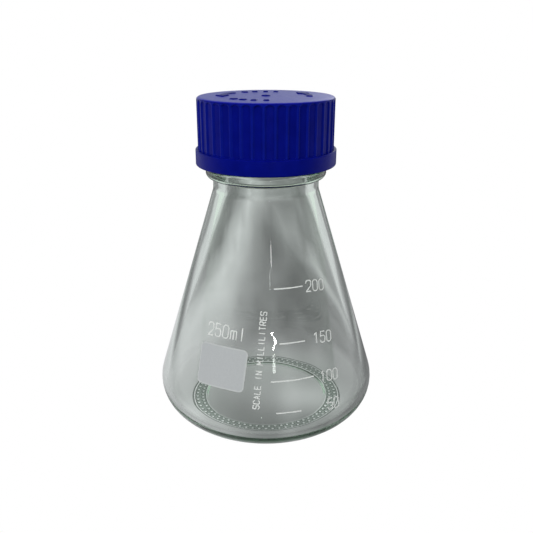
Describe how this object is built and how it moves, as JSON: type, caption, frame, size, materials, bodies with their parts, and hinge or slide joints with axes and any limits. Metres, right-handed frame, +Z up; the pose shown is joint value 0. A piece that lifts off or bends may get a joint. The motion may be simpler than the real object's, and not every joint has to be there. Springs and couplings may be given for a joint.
{
  "type": "screw-cap erlenmeyer flask",
  "caption": "Conical moulded-glass laboratory flask with white volume marks, a threaded neck and a ribbed blue screw cap.",
  "frame": {"origin": "centre of the flat ring that the flask stands on, at the level of that ring", "axes": "+Z up along the flask's axis, towards the cap; -Y is the side with the volume marks; +X to the right of it"},
  "size_m": [0.0868, 0.0868, 0.125],
  "materials": {
    "clear_glass": "clear, faint grey-green tint",
    "blue_plastic": "satin moulded polypropylene",
    "seal_rubber": "matt silicone",
    "white_enamel": "fired screen print",
    "matt_panel": "thin matt fired print"
  },
  "bodies": {
    "flask": {"flask_body": "clear_glass", "pouring_ring": "blue_plastic", "graduation_lines": "white_enamel", "graduation_numbers": "white_enamel", "capacity_mark": "white_enamel", "scale_caption": "white_enamel", "marking_border": "white_enamel", "marking_panel": "matt_panel"},
    "seal": {"seal_disc": "seal_rubber"},
    "cap": {"screw_cap": "blue_plastic"}
  },
  "joints": [
    {"name": "cap_rise", "type": "slide", "parent": "flask", "child": "seal", "axis": [0, 0, 1], "range_m": [0, 0.028]},
    {"name": "cap_turn", "type": "hinge", "parent": "seal", "child": "cap", "pos_m": [0, 0, 0.1003], "axis": [0, 0, 1], "range_deg": [0, 2520]}
  ],
  "couplings": [
    {"joint": "cap_rise", "follows": "cap_turn", "m_per_rad": 0.00063661}
  ]
}
